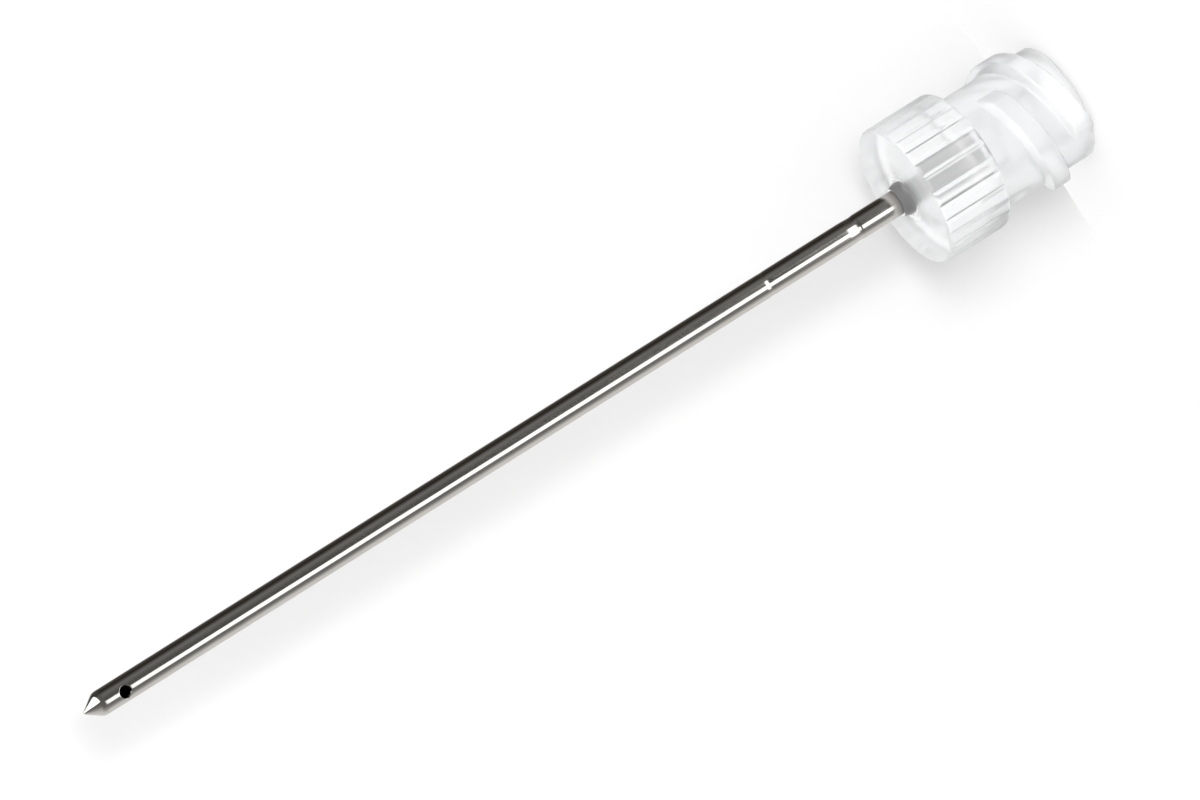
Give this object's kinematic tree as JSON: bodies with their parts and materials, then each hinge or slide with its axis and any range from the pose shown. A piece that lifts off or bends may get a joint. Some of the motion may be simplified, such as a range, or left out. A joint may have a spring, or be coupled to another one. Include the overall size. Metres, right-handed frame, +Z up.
{
  "type": "dispensing needle tip",
  "caption": "Slim steel tube with a closed conical point and a side port, set in a translucent moulded hub with a ribbed collar, an external thread and a tapered socket.",
  "frame": {"origin": "on the surface that the tip stands on, at the centre of the Luer mouth", "axes": "+Z up, along the needle from the Luer mouth to the closed point; -Y is the front, and the side port faces 18 degrees from it towards -X"},
  "size_m": [0.0082, 0.0082, 0.0641],
  "materials": {
    "hub_plastic": "translucent natural moulded plastic, satin gloss",
    "cannula_steel": "bright drawn stainless steel"
  },
  "bodies": {
    "root": {"luer_hub": "hub_plastic", "cannula": "cannula_steel"}
  },
  "joints": []
}
